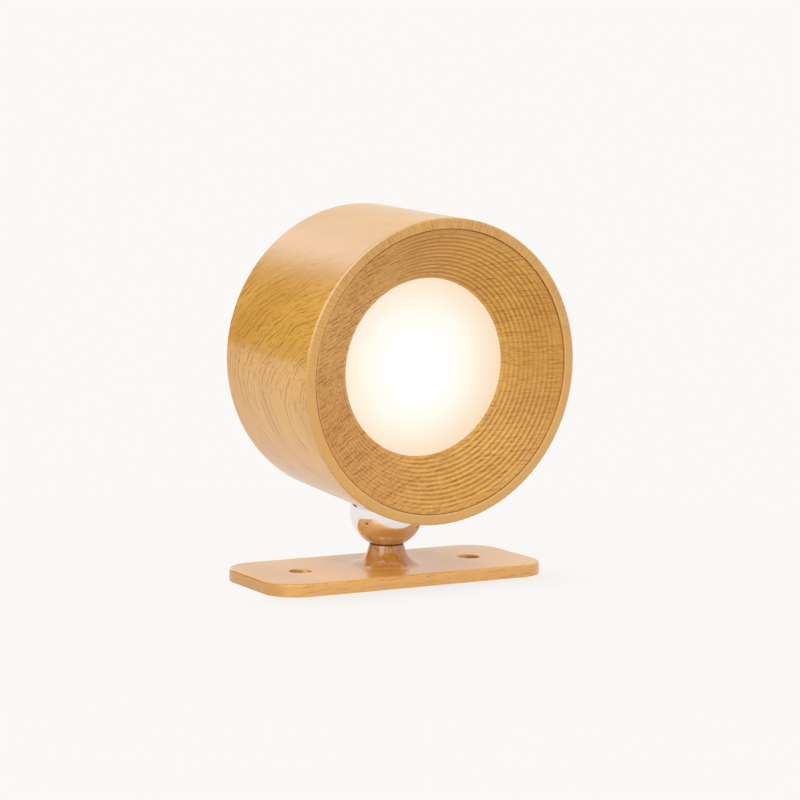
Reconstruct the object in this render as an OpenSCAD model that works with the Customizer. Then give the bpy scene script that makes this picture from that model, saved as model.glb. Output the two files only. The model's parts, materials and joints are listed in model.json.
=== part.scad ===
// Rechargeable wall lamp: a drum head with a ridged baffle, held by a magnet on a steel ball,
// which stands on a plate with two screw holes.
// The plate lies on z = 0 with its length along X. The lamp's face looks along -Y and nods a little.

/* [Base plate] */
// Length of the plate
plate_length = 93.6; // [80:0.1:110]
// Width of the plate
plate_width = 41.4; // [34:0.1:50]
// Thickness of the plate
plate_thickness = 3.8; // [3.4:0.1:5]
// Radius of the plate's corners
plate_corner = 10.3; // [5:0.1:14]
// Rounding of the plate's top edge
plate_edge = 0.8; // [0.3:0.1:1.5]
// Distance between the two wall screw holes
hole_spacing = 58.8; // [50:0.1:66]
// Diameter of each wall screw hole
hole_d = 4.4; // [3.5:0.1:5.5]
// Diameter of each wall screw hole's counterbore
hole_head_d = 6.8; // [6.4:0.1:9]
// Depth of each wall screw hole's counterbore
hole_head_depth = 1.6; // [1:0.1:2.2]
// Rounding of each counterbore's edge
hole_edge = 0.4; // [0.2:0.1:0.6]

/* [Stem and ball] */
// Diameter of the stem's top, where the ball sits
stem_top_d = 10.5; // [8.5:0.1:12]
// Height of the stem above the plate
stem_height = 6.1; // [4.6:0.1:9]
// How much the stem's radius grows from its top to the plate, under its flare
stem_taper = 1.9; // [1.5:0.1:3]
// Radius of the flare that blends the stem into the plate
stem_flare = 6; // [3:0.1:7.5]
// Thickness of the washer between stem and ball
washer_thickness = 0.4; // [0.3:0.1:1]
// Diameter of the steel ball
ball_d = 22.9; // [20:0.1:23]
// Thread diameter of the screw that holds the ball
ball_screw_d = 4; // [3:0.5:5]
// Head diameter of the ball screw
ball_screw_head_d = 7.4; // [6:0.1:9]
// Head height of the ball screw
ball_screw_head_h = 2.2; // [1.6:0.1:2.6]
// How far the ball screw reaches into the ball
ball_screw_grip = 8; // [5:0.5:12]

/* [Ball socket] */
// Gap between the ball and its seat
ball_gap = 0.2; // [0.15:0.05:0.6]
// Running gap round the pieces that turn in the drum
turn_gap = 0.15; // [0.1:0.05:0.3]
// Outer diameter of the ring magnet
magnet_d = 20; // [17:0.5:21]
// Hole of the ring magnet
magnet_hole_d = 12; // [9:0.5:13]
// Thickness of the ring magnet
magnet_h = 4; // [3:0.5:5]
// Wall of the steel cup over the magnet
pole_wall = 1.2; // [0.8:0.1:1.5]
// Wall of the socket liner round the steel cup
liner_wall = 1.6; // [1.2:0.1:2]
// Wall of the liner's lip, level with the ball's middle
liner_lip = 0.05; // [0.02:0.01:0.6]
// How far the liner's rim lies inside the drum's lowest line
liner_recess = 1.5; // [0.4:0.1:1.6]
// Wall of the tower in the drum that holds the socket
tower_wall = 2; // [1.5:0.1:2.5]
// Thickness of the plate that keeps the socket in its tower
retainer_thickness = 1.5; // [1.2:0.1:1.8]

/* [Drum] */
// Outer diameter of the drum
drum_d = 90; // [88:1:110]
// Depth of the drum from its back to its front rim
drum_depth = 52.8; // [49:0.1:75]
// Wall of the drum, which is also the width of its front rim
drum_wall = 3; // [2.4:0.1:3.4]
// Rounding of the drum's outer edge at the front
front_edge = 0.7; // [0.3:0.1:1.2]
// Rounding of the drum's outer edge at the back
rear_edge = 1.2; // [0.6:0.1:2]
// How far the front rim lies in front of the ball's middle
front_reach = 29.7; // [26:0.1:32]
// Gap between the ball's middle and the drum's lowest line
head_gap = 1.3; // [1:0.1:5]
// How far the head nods forward as it stands
head_nod = 4; // [0:0.1:15]

/* [Baffle and lens] */
// Width of the baffle's cone, from the drum's bore to the opening where the lens shows
cone_width = 15.5; // [13.8:0.1:18]
// Depth of the opening's edge behind the front rim
cone_depth = 11.2; // [9:0.1:12.5]
// How far the baffle's outer edge lies behind the front rim
baffle_recess = 0.3; // [0.1:0.1:1]
// Bevel of the baffle's outer edge at the seam with the drum
seam_bevel = 0.3; // [0.1:0.05:0.6]
// Gap between baffle and drum
baffle_gap = 0.12; // [0.05:0.01:0.3]
// Wall of the baffle
baffle_wall = 2; // [1.8:0.1:2.4]
// Depth of the baffle's outer skirt
skirt_depth = 9; // [6:0.5:10]
// Number of round ridges on the baffle's cone
ridge_count = 11; // [4:1:12]
// Plain band between the last ridge and the outer edge
ridge_land = 2; // [1:0.1:3]
// Height of each ridge
ridge_height = 0.36; // [0.1:0.02:0.5]
// Plain band between the opening and the first ridge
ridge_margin = 0.95; // [0.3:0.05:1.2]
// Height of the opening's straight edge
lip_height = 0.8; // [0.5:0.1:1.2]
// How far the lens bulges in its middle
lens_rise = 3; // [1:0.1:6]
// Wall of the lens
lens_wall = 1.4; // [1:0.1:2]
// Width of the lens's hidden flange
lens_flange = 1.6; // [1.2:0.1:2]
// Gap between the lens and the opening
lens_gap = 0.15; // [0.05:0.05:0.4]

/* [Light source] */
// Wall of the reflector round the light chamber
reflector_wall = 1.2; // [1:0.1:1.4]
// How much smaller the LED board's radius is than the opening's
led_inset = 2.6; // [2:0.1:3.2]
// Thickness of the LED board
led_board_h = 1.6; // [1:0.1:2]
// Number of LEDs in the outer ring
led_count = 12; // [6:1:16]
// Distance of the outer ring of LEDs from the LED board's edge
led_edge = 8; // [4:0.5:10]
// Thickness of the chassis
chassis_thickness = 2; // [1.5:0.1:2.5]
// Diameter of each LED lead
lead_d = 1.2; // [0.8:0.1:1.6]

/* [Battery] */
// Diameter of the battery cell
battery_d = 18.4; // [14:0.1:18.6]
// Length of the battery cell
battery_length = 65; // [50:0.5:66]
// Height of the battery's middle over the drum's axis
battery_rise = 4; // [2:0.5:5]
// Room between the battery cell and the control board
cell_room = 2.1; // [1:0.1:6]
// Wall of the battery tray
tray_wall = 1.2; // [1:0.1:1.4]
// Thickness of the battery tabs
tab_thickness = 0.3; // [0.2:0.05:0.4]

/* [Back] */
// Thickness of the back cover
cover_thickness = 2.4; // [2:0.1:3]
// Gap between the back cover and the drum
cover_gap = 0.15; // [0.05:0.05:0.4]
// Thickness of the control board
board_thickness = 1.6; // [1:0.1:2]
// Height of the charging port on the control board
port_height = 6; // [5.6:0.1:6.8]
// Width of the charging port
port_width = 8.9; // [8.9:0.1:10]
// Thickness of the charging port
port_thickness = 3.2; // [3.2:0.1:4]
// How far the charging port lies below the drum's axis
port_drop = 18; // [15:0.5:19]
// Diameter of the push button
button_d = 12; // [9:0.5:16]
// How far the push button goes in
button_travel = 0.6; // [0.3:0.05:0.8]
// How far the push button stands proud of the cover
button_proud = 0.9; // [0.8:0.1:1.6]
// Gap round the push button
button_gap = 0.2; // [0.1:0.05:0.4]

/* [Screws] */
// Thread diameter of the small screws
screw_d = 2.6; // [2:0.1:3]
// Head diameter of the small screws
screw_head_d = 4.4; // [4:0.1:5]
// Head height of the small screws
screw_head_h = 1.3; // [1:0.1:1.6]
// Length of the small screws below their heads
screw_length = 7; // [5:0.5:9]
// Gap between a screw and its hole
screw_gap = 0.05; // [0.02:0.01:0.2]
// Radius of the screw posts
post_r = 3; // [2.5:0.1:3.4]

/* [Hidden] */
$fn = 96;
eps = 0.01;

oak = "#d9a45a";
oak_pale = "#e0ae68";
steel = "#d8d8d8";
black = "#2a2622";
opal = "#fff3d8";
white = "#f2f0ea";
board_green = "#2f6b45";

// Base heights
ball_r = ball_d / 2;
stem_top_z = plate_thickness + stem_height;
ball_seat_z = stem_top_z + washer_thickness;
ball_z = ball_seat_z + sqrt(pow(ball_r, 2) - pow(stem_top_d / 2, 2));
ball_screw_recess = ball_screw_head_h + 0.8;
washer_inset = 0.15;

// Drum stations along its axis, measured from the ball's middle towards the front
drum_r = drum_d / 2;
bore_r = drum_r - drum_wall;
axis_h = drum_r + head_gap;
rear_a = front_reach - drum_depth;
cover_a = rear_a + cover_thickness;
board_a = rear_a + port_height;
board_front_a = board_a + board_thickness;
battery_r = battery_d / 2;
cell_gap = 0.2;
battery_a = board_front_a + cell_room + battery_r;
tray_floor_a = battery_a + battery_r + cell_gap;
chassis_back_a = tray_floor_a + tray_wall;
chassis_a = chassis_back_a + chassis_thickness;
lip_a = front_reach - cone_depth - lip_height;
lens_back_a = lip_a - lens_wall;

// Socket stations along its own axis, measured from the ball's middle upwards
seat_r = ball_r + ball_gap;
magnet_low_h = sqrt(pow(seat_r, 2) - pow(magnet_hole_d / 2, 2));
magnet_top_h = magnet_low_h + magnet_h;
pole_top_h = magnet_top_h + pole_wall;
pole_r = magnet_d / 2 + screw_gap + pole_wall;
liner_r = pole_r + screw_gap + liner_wall;
neck_r = seat_r + liner_lip;
mouth_r = neck_r + turn_gap;
liner_low_h = head_gap + liner_recess;
shoulder_h = head_gap + drum_wall;
tower_r = liner_r + turn_gap + tower_wall;
tower_top_h = pole_top_h + turn_gap;
ear_x = tower_r + post_r;
ear_floor_h = axis_h + drum_wall - sqrt(pow(drum_r, 2) - pow(ear_x + post_r, 2));
ear_grip = tower_top_h - ear_floor_h;

// Baffle cone, from the edge of its opening to its outer edge
baffle_r = bore_r - baffle_gap;
opening_r = bore_r - cone_width;
cone_low = [opening_r, front_reach - cone_depth];
cone_high = [baffle_r, front_reach - baffle_recess];
cone_run = cone_high - cone_low;
cone_way = cone_run / norm(cone_run);
cone_out = [-cone_way[1], cone_way[0]];
ridge_pitch = (norm(cone_run) - ridge_margin - ridge_land) / ridge_count;
ridge_r = (pow(ridge_pitch / 2, 2) + pow(ridge_height, 2)) / (2 * ridge_height);
ridge_steps = 6;

// Lens and light chamber
lens_r = opening_r - lens_gap;
flange_r = lens_r + lens_flange;
lens_step = lip_height - lens_gap;
reflector_r = flange_r + screw_gap + reflector_wall;
led_board_r = opening_r - led_inset;
led_ring_r = led_board_r - led_edge;
led_size = [2.8, 3.5, 0.8];
clamp_h = 0.9;

// Screw posts along the drum's wall, in degrees round its axis
post_angles = [90, 210, 330];
post_inset = 1.2;
post_ring = bore_r - post_r - post_inset;
web_w = 2.4;
pilot_r = screw_d / 2 + screw_gap;
screw_slack = 0.6;

// Battery bay
cradle_u = battery_r + cell_gap + tray_wall;
cradle_lip = 2;
cradle_a = battery_a - cradle_lip;
tray_x = battery_length / 2 + tab_thickness + cell_gap + tray_wall;
tray_gap = 0.5;
tray_post_r = 2.2;
tray_post_u = cradle_u + tray_post_r + 0.4;
tray_u = tray_post_u + tray_post_r;
board_post_x = 20;
tray_screw_x = 29;

// Control board
board_w = 50;
board_margin = 7;
board_top_u = battery_rise + tray_u;
board_low_u = -port_drop - board_margin;
choke_size = [6, 6, 2.4];
chip_size = [5, 4, 1];
part_x = 13.5;
part_u = 5;
tab_w = 7;
switch_w = 6;
switch_h = 1.8;
plunger_r = 1.6;
plunger_grip = 0.5;
plug_size = [5, 4, 3];
plug_inset = 3;
plug_u = board_top_u - plug_inset;
plug_a = board_front_a + plug_size[2];
lead_x = 1.25;
lead_gap = 1.6;
lead_u = board_top_u + lead_d / 2 + lead_gap;
lead_bend = 3;
pipe_r = 1;
pipe_x = port_width / 2 + 4;

// Push button stations, from the cover's face inwards
button_r = button_d / 2;
button_face_a = rear_a - button_proud;
button_flange = 1.2;
button_flange_h = 0.7;
button_seat_a = cover_a + screw_gap;
button_inner_a = button_seat_a + button_flange_h;
switch_a = board_a - switch_h;

// Cut-off of chassis and reflector above the socket, so that the tower has room
chassis_low_u = tower_top_h + retainer_thickness + screw_head_h - axis_h + 0.8;
window_size = [7, lead_d + 2];

// Places children in the drum: X across, Y up from the drum's axis, Z to the front from the ball's middle
module in_drum() {
    translate([0, 0, ball_z])
        rotate([head_nod, 0, 0])
            translate([0, 0, axis_h])
                rotate([90, 0, 0])
                    children();
}

// Places children on the socket's axis, with z = 0 in the ball's middle
module in_socket() {
    translate([0, 0, ball_z])
        rotate([head_nod, 0, 0])
            children();
}

// The socket's axis as seen inside the drum's frame
module on_socket_axis() {
    translate([0, -axis_h, 0])
        rotate([-90, 0, 0])
            children();
}

// A tube or a solid of revolution between two stations
module span(r, low, high) {
    translate([0, 0, low])
        cylinder(r = r, h = high - low);
}

// A flat outline with half-round ends
module stadium(w, t) {
    square([w - t, t], center = true);
    for (side = [-1, 1])
        translate([side * (w - t) / 2, 0])
            circle(d = t);
}

// A pan-head screw that points down from z = 0
module pan_screw(length) {
    cylinder(d = screw_head_d, h = screw_head_h);
    span(screw_d / 2, -length, eps);
}

// A flat-head screw whose face is at z = 0, pointing down
module flat_screw(length) {
    flat_h = (screw_head_d - screw_d) / 2;
    translate([0, 0, -flat_h])
        cylinder(d1 = screw_d, d2 = screw_head_d, h = flat_h);
    span(screw_d / 2, -length, -flat_h + eps);
}

// The cut through the plate's edge, with its rounded top corner, from a straight back at x = 0
module plate_edge_outline(depth) {
    square([depth, plate_thickness - plate_edge]);
    square([depth - plate_edge, plate_thickness]);
    translate([depth - plate_edge, plate_thickness - plate_edge])
        circle(plate_edge);
}

// The rounded slab: a core, four edge strips and four turned corners that meet face to face
module plate_slab() {
    core = [plate_length - 2 * plate_corner, plate_width - 2 * plate_corner];
    translate([-core[0] / 2, -core[1] / 2, 0])
        cube([core[0], core[1], plate_thickness]);
    for (turn = [0, 180]) {
        rotate([0, 0, turn])
            translate([core[0] / 2, core[1] / 2, 0])
                rotate([90, 0, 0])
                    linear_extrude(core[1])
                        plate_edge_outline(plate_corner);
        rotate([0, 0, turn + 90])
            translate([core[1] / 2, core[0] / 2, 0])
                rotate([90, 0, 0])
                    linear_extrude(core[0])
                        plate_edge_outline(plate_corner);
    }
    for (sx = [0, 1], sy = [0, 1])
        translate([(sx - 0.5) * core[0], (sy - 0.5) * core[1], 0])
            rotate([0, 0, sx == 1 ? (sy == 1 ? 0 : 270) : (sy == 1 ? 90 : 180)])
                rotate_extrude(angle = 90)
                    plate_edge_outline(plate_corner);
}

// The stem's half outline: a tapered neck and a concave flare that touches both neck and plate
module stem_outline() {
    top_r = stem_top_d / 2;
    foot_r = top_r + stem_taper;
    lean = atan(stem_taper / stem_height);
    reach = stem_flare * tan((90 - lean) / 2);
    touch = [foot_r - reach * sin(lean), plate_thickness + reach * cos(lean)];
    polygon([[0, plate_thickness - 1], [foot_r, plate_thickness - 1], [foot_r, plate_thickness],
        [top_r, stem_top_z], [0, stem_top_z]]);
    difference() {
        polygon([[0, plate_thickness - 1], [foot_r + reach, plate_thickness - 1],
            [foot_r + reach, plate_thickness], touch, [0, touch[1]]]);
        translate([foot_r + reach, plate_thickness + stem_flare])
            circle(stem_flare);
    }
}

// Half outline of the rounding that is cut from a counterbore's edge, whose face is at y = 0
module hole_edge_outline() {
    edge_r = hole_head_d / 2 + hole_edge;
    difference() {
        translate([0, -hole_edge])
            square([edge_r, 2 * hole_edge]);
        translate([edge_r, -hole_edge])
            circle(hole_edge);
    }
}

module base_plate() {
    color(oak)
        difference() {
            union() {
                plate_slab();
                rotate_extrude()
                    stem_outline();
            }
            for (side = [-1, 1])
                translate([side * hole_spacing / 2, 0, 0]) {
                    span(hole_d / 2, -1, plate_thickness + 1);
                    span(hole_head_d / 2, plate_thickness - hole_head_depth, plate_thickness + 1);
                    translate([0, 0, plate_thickness])
                        rotate_extrude()
                            hole_edge_outline();
                }
            span(ball_screw_head_d / 2 + 0.4, -1, ball_screw_recess);
            span(ball_screw_d / 2 + 0.2, 0, stem_top_z + 1);
        }
}

module ball_washer() {
    color(black)
        difference() {
            span(stem_top_d / 2 - washer_inset, stem_top_z, ball_seat_z);
            span(ball_screw_d / 2 + 0.2, stem_top_z - 1, ball_seat_z + 1);
        }
}

module ball_screw() {
    color(steel)
        difference() {
            union() {
                span(ball_screw_head_d / 2, ball_screw_recess - ball_screw_head_h, ball_screw_recess);
                span(ball_screw_d / 2, ball_screw_recess - eps, ball_seat_z + ball_screw_grip);
            }
            translate([0, 0, ball_screw_recess - ball_screw_head_h - eps])
                cylinder(d = ball_screw_d * 0.75, h = ball_screw_head_h * 0.6, $fn = 6);
        }
}

module ball() {
    color(steel)
        difference() {
            translate([0, 0, ball_z])
                sphere(ball_r);
            span(ball_r, ball_z - ball_r - 1, ball_seat_z);
            span(ball_screw_d / 2 + screw_gap, ball_seat_z - 1, ball_seat_z + ball_screw_grip + 1);
        }
}

module socket_liner() {
    color(black)
        in_socket()
            difference() {
                union() {
                    span(neck_r, liner_low_h, shoulder_h + turn_gap + eps);
                    span(liner_r, shoulder_h + turn_gap, pole_top_h);
                }
                sphere(seat_r);
                span(magnet_hole_d / 2 + 0.6, 0, magnet_low_h + eps);
                span(pole_r + screw_gap, magnet_low_h, pole_top_h + 1);
            }
}

module magnet() {
    color(steel)
        in_socket()
            difference() {
                span(magnet_d / 2, magnet_low_h, magnet_top_h);
                span(magnet_hole_d / 2, magnet_low_h - 1, magnet_top_h + 1);
            }
}

module pole_cup() {
    color(steel)
        in_socket()
            difference() {
                span(pole_r, magnet_low_h, pole_top_h);
                span(magnet_d / 2 + screw_gap, magnet_low_h - 1, magnet_top_h);
            }
}

module retainer_outline(r) {
    circle(r);
    square([2 * ear_x, 2 * post_r], center = true);
    for (side = [-1, 1])
        translate([side * ear_x, 0])
            circle(post_r);
}

module socket_retainer() {
    color(white)
        in_socket()
            translate([0, 0, tower_top_h])
                difference() {
                    linear_extrude(retainer_thickness)
                        retainer_outline(tower_r);
                    for (side = [-1, 1])
                        translate([side * ear_x, 0, -1])
                            cylinder(r = pilot_r, h = retainer_thickness + 2);
                }
}

module retainer_screws() {
    color(steel)
        in_socket()
            for (side = [-1, 1])
                translate([side * ear_x, 0, tower_top_h + retainer_thickness])
                    pan_screw(ear_grip + retainer_thickness - screw_slack);
}

// Half outline of the drum's tube, with its rounded outer edges
module drum_outline() {
    translate([bore_r, rear_a + rear_edge])
        square([drum_wall, drum_depth - rear_edge - front_edge]);
    translate([bore_r, rear_a])
        square([drum_wall - rear_edge, rear_edge * 2]);
    translate([drum_r - rear_edge, rear_a + rear_edge])
        circle(rear_edge);
    translate([bore_r, front_reach - front_edge * 2])
        square([drum_wall - front_edge, front_edge * 2]);
    translate([drum_r - front_edge, front_reach - front_edge])
        circle(front_edge);
}

module at_posts(r = post_ring) {
    for (turn = post_angles)
        rotate([0, 0, turn])
            translate([r, 0, 0])
                children();
}

module drum_shell() {
    color(oak)
        in_drum()
            difference() {
                union() {
                    rotate_extrude()
                        drum_outline();
                    intersection() {
                        union() {
                            at_posts() {
                                span(post_r, cover_a, chassis_back_a);
                                translate([0, -web_w / 2, cover_a])
                                    cube([post_r + drum_wall, web_w, chassis_back_a - cover_a]);
                            }
                            on_socket_axis()
                                linear_extrude(tower_top_h)
                                    retainer_outline(tower_r);
                        }
                        span(drum_r - drum_wall / 2, rear_a, front_reach);
                    }
                }
                at_posts() {
                    span(pilot_r, cover_a - 1, cover_a + screw_length);
                    span(pilot_r, chassis_back_a - screw_length, chassis_back_a + 1);
                }
                on_socket_axis() {
                    span(mouth_r, 0, shoulder_h + eps);
                    span(liner_r + turn_gap, shoulder_h, tower_top_h + 1);
                    for (side = [-1, 1])
                        translate([side * ear_x, 0, 0])
                            span(pilot_r, ear_floor_h, tower_top_h + 1);
                }
            }
}

// Points over the ridged cone, from the opening to the outer edge
function ridge_points() = [
    for (i = [0 : ridge_count - 1], k = [0 : ridge_steps])
        let (x = (k / ridge_steps - 0.5) * ridge_pitch)
        cone_low + (ridge_margin + (i + 0.5) * ridge_pitch + x) * cone_way
            + (sqrt(pow(ridge_r, 2) - pow(x, 2)) - ridge_r + ridge_height) * cone_out
];

// Half outline of the baffle: ridged cone, outer skirt and straight lip at the opening
module baffle_outline() {
    slope = cone_way[1] / cone_way[0];
    back_a = cone_low[1] - baffle_wall / cone_way[0];
    skirt_r = baffle_r - baffle_wall;
    skirt_a = cone_high[1] - skirt_depth;
    polygon(concat(
        [cone_low],
        ridge_points(),
        [cone_high - seam_bevel * cone_way, [baffle_r, cone_high[1] - 2 * seam_bevel]],
        [[baffle_r, skirt_a], [skirt_r, skirt_a], [skirt_r, back_a + (skirt_r - opening_r) * slope]],
        [[reflector_r, back_a + (reflector_r - opening_r) * slope], [reflector_r, lip_a], [opening_r, lip_a]]
    ));
}

module baffle() {
    color(oak)
        in_drum()
            rotate_extrude()
                baffle_outline();
}

// Half outline of the lens: a thin dome on a short step, with a flat flange behind the lip
module lens_outline() {
    dome_r = (pow(lens_r, 2) + pow(lens_rise, 2)) / (2 * lens_rise);
    dome_a = lip_a + lens_step + lens_rise - dome_r;
    intersection() {
        difference() {
            translate([0, dome_a])
                circle(dome_r);
            translate([0, dome_a - lens_wall])
                circle(dome_r);
        }
        translate([0, lip_a - lens_wall])
            square([lens_r, lens_wall + lens_step + lens_rise]);
    }
    translate([lens_r - lens_wall, lens_back_a])
        square([lens_wall, lens_wall + lens_step / 2]);
    translate([lens_r - lens_wall, lens_back_a])
        square([lens_wall + lens_flange, lens_wall]);
}

module lens() {
    color(opal)
        in_drum()
            rotate_extrude()
                lens_outline();
}

// The light chamber's wall, with a flat notch below that clears the socket's tower
module reflector() {
    inner_r = led_board_r - 1;
    wall_a = chassis_a + led_board_h + clamp_h;
    notch_a = tower_r + tray_gap;
    color(white)
        in_drum()
            difference() {
                span(reflector_r, chassis_a, lens_back_a);
                span(led_board_r + screw_gap, chassis_a - 1, chassis_a + led_board_h);
                span(inner_r, chassis_a, wall_a + eps);
                translate([0, 0, wall_a])
                    cylinder(r1 = inner_r, r2 = flange_r - 1.2, h = lens_back_a - wall_a + eps);
                translate([-tower_r, chassis_low_u - tower_r, chassis_a - 1])
                    cube([2 * tower_r, tower_r, notch_a - chassis_a + 1]);
            }
}

module led_board() {
    color(white)
        in_drum()
            span(led_board_r, chassis_a, chassis_a + led_board_h);
}

module leds() {
    color(opal)
        in_drum()
            translate([0, 0, chassis_a + led_board_h])
                for (ring = [[led_count, led_ring_r], [led_count / 2, led_ring_r / 2]])
                    for (i = [0 : ring[0] - 1])
                        rotate([0, 0, 360 * i / ring[0]])
                            translate([ring[1] - led_size[0] / 2, -led_size[1] / 2, 0])
                                cube(led_size);
}

module chassis() {
    color(white)
        in_drum()
            difference() {
                intersection() {
                    span(bore_r - turn_gap, chassis_back_a, chassis_a);
                    translate([-drum_r, chassis_low_u, chassis_back_a])
                        cube([drum_d, drum_d, chassis_thickness]);
                }
                at_posts()
                    span(pilot_r, chassis_back_a - 1, chassis_a + 1);
                at_tray_screws()
                    span(pilot_r, chassis_back_a - 1, chassis_a + 1);
                translate([-window_size[0] / 2, lead_u - window_size[1] / 2, chassis_back_a - 1])
                    cube([window_size[0], window_size[1], chassis_thickness + 2]);
            }
}

module chassis_screws() {
    color(steel)
        in_drum()
            at_posts()
                translate([0, 0, chassis_a])
                    pan_screw(screw_length + chassis_thickness - screw_slack);
}

module at_tray_corners(x) {
    for (sx = [-1, 1], sy = [-1, 1])
        translate([sx * x, battery_rise + sy * tray_post_u, 0])
            children();
}

module at_tray_screws() {
    at_tray_corners(tray_screw_x)
        children();
}

module battery_tray() {
    color(white)
        in_drum()
            difference() {
                intersection() {
                    union() {
                        translate([-tray_x, battery_rise - tray_u, tray_floor_a])
                            cube([2 * tray_x, 2 * tray_u, tray_wall]);
                        translate([-tray_x, battery_rise - cradle_u, cradle_a])
                            cube([2 * tray_x, 2 * cradle_u, tray_floor_a - cradle_a + eps]);
                        at_tray_corners(board_post_x)
                            span(tray_post_r, board_front_a, tray_floor_a + eps);
                    }
                    span(bore_r - tray_gap, rear_a, front_reach);
                }
                translate([0, battery_rise, battery_a])
                    rotate([0, 90, 0])
                        cylinder(r = battery_r + cell_gap, h = 2 * (tray_x - tray_wall), center = true);
                translate([tray_wall - tray_x, battery_rise - battery_r - cell_gap, cradle_a - 1])
                    cube([2 * (tray_x - tray_wall), battery_d + 2 * cell_gap, battery_a - cradle_a + 1]);
                at_tray_screws()
                    span(pilot_r, tray_floor_a - 1, chassis_back_a + 1);
                at_tray_corners(board_post_x)
                    span(pilot_r - 0.3, board_front_a - 1, board_front_a + screw_length);
            }
}

module tray_screws() {
    color(steel)
        in_drum()
            at_tray_screws()
                translate([0, 0, tray_floor_a])
                    rotate([180, 0, 0])
                        pan_screw(tray_wall + chassis_thickness - eps);
}

module battery() {
    color("#6f7fa8")
        in_drum()
            translate([0, battery_rise, battery_a])
                rotate([0, 90, 0])
                    cylinder(r = battery_r, h = battery_length, center = true);
}

// Nickel strips from the cell's ends to the control board
module battery_tabs() {
    end_x = battery_length / 2;
    color(steel)
        in_drum()
            for (side = [0, 1])
                mirror([side, 0, 0])
                    translate([0, battery_rise - tab_w / 2, 0]) {
                        translate([end_x, 0, board_front_a])
                            cube([tab_thickness, tab_w, battery_a + tab_w / 2 - board_front_a]);
                        translate([board_w / 2 - 3, 0, board_front_a])
                            cube([end_x - board_w / 2 + 3 + tab_thickness, tab_w, tab_thickness]);
                    }
}

module control_board() {
    color(board_green)
        in_drum()
            difference() {
                translate([-board_w / 2, board_low_u, board_a])
                    cube([board_w, board_top_u - board_low_u, board_thickness]);
                at_tray_corners(board_post_x)
                    span(pilot_r - 0.3, board_a - 1, board_front_a + 1);
            }
}

module board_screws() {
    color(steel)
        in_drum()
            at_tray_corners(board_post_x)
                translate([0, 0, board_a])
                    rotate([180, 0, 0])
                        scale((screw_d - 0.6) / screw_d)
                            pan_screw(screw_length);
}

// Choke, charger chip, driver chip and capacitor on the board's back, and the LED plug on its front
module board_parts() {
    color(black)
        in_drum() {
            for (part = [[-1, 1, choke_size], [1, 1, chip_size], [-1, -2, chip_size], [1, -1, chip_size]])
                translate([part[0] * part_x, part[1] * part_u, board_a - part[2][2] / 2])
                    cube(part[2], center = true);
            translate([-plug_size[0] / 2, plug_u - plug_size[1] / 2, board_front_a])
                cube(plug_size);
        }
}

module led_leads() {
    color("#c23b2e")
        in_drum()
            for (side = [-1, 1])
                translate([side * lead_x, 0, 0])
                    wire(lead_route(), lead_d / 2);
}

// The leads leave the plug, step over the tray's edge and run forward to the LED board
function lead_route() = [
    [plug_u, plug_a], [plug_u, plug_a + lead_bend / 2],
    [(plug_u + lead_u) / 2, plug_a + 1.5 * lead_bend], [lead_u, plug_a + 2.5 * lead_bend],
    [lead_u, chassis_back_a], [lead_u, chassis_a]
];

// A round wire along points in the plane of Y and Z
module wire(route, r, sides = 8) {
    last = len(route) - 1;
    headings = [for (i = [0 : last]) route[min(i + 1, last)] - route[max(i - 1, 0)]];
    rings = [for (i = [0 : last], k = [0 : sides - 1])
        let (way = headings[i] / norm(headings[i]), turn = 360 * k / sides)
        [r * cos(turn), route[i][0] - r * sin(turn) * way[1], route[i][1] + r * sin(turn) * way[0]]];
    skin = [for (i = [0 : last - 1], k = [0 : sides - 1])
        let (a = i * sides + k, b = i * sides + (k + 1) % sides)
        each [[a, b, b + sides], [a, b + sides, a + sides]]];
    ends = [[for (k = [sides - 1 : -1 : 0]) k], [for (k = [0 : sides - 1]) last * sides + k]];
    polyhedron(rings, concat(skin, ends));
}

module charging_port() {
    skin = 0.35;
    floor_h = 1.2;
    tongue = [6.4, 0.7];
    color(steel)
        in_drum()
            translate([0, -port_drop, 0]) {
                difference() {
                    translate([0, 0, rear_a + 0.2])
                        linear_extrude(port_height - 0.2)
                            stadium(port_width, port_thickness);
                    translate([0, 0, rear_a])
                        linear_extrude(port_height - floor_h)
                            stadium(port_width - 2 * skin, port_thickness - 2 * skin);
                }
                translate([-tongue[0] / 2, -tongue[1] / 2, rear_a + 1])
                    cube([tongue[0], tongue[1], port_height - floor_h - 1 + eps]);
            }
}

module switch_base() {
    color(black)
        in_drum()
            difference() {
                translate([-switch_w / 2, -switch_w / 2, switch_a])
                    cube([switch_w, switch_w, switch_h]);
                span(plunger_r + button_gap, switch_a - 1, switch_a + plunger_grip + button_travel + 0.2);
            }
}

module switch_plunger() {
    color(white)
        in_drum()
            span(plunger_r, button_inner_a, switch_a + plunger_grip);
}

module light_pipe() {
    color(white)
        in_drum()
            translate([pipe_x, -port_drop, 0])
                span(pipe_r, rear_a, board_a);
}

module back_cover() {
    color(oak_pale)
        in_drum()
            difference() {
                span(bore_r - cover_gap, rear_a, cover_a);
                span(button_r + button_gap, rear_a - 1, cover_a + 1);
                translate([0, -port_drop, rear_a - 1])
                    linear_extrude(cover_thickness + 2)
                        stadium(port_width + 2 * cover_gap, port_thickness + 2 * cover_gap);
                translate([pipe_x, -port_drop, 0])
                    span(pipe_r + screw_gap, rear_a - 1, cover_a + 1);
                at_posts()
                    translate([0, 0, rear_a])
                        rotate([180, 0, 0])
                            flat_hole();
            }
}

// The hole that a flat-head screw sits in, with its face at z = 0
module flat_hole() {
    flat_h = (screw_head_d - screw_d) / 2;
    translate([0, 0, -flat_h - screw_gap])
        cylinder(d1 = screw_d + 2 * screw_gap, d2 = screw_head_d + 4 * screw_gap, h = flat_h + 2 * screw_gap);
    span(pilot_r, -cover_thickness - 1, 0);
}

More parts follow.
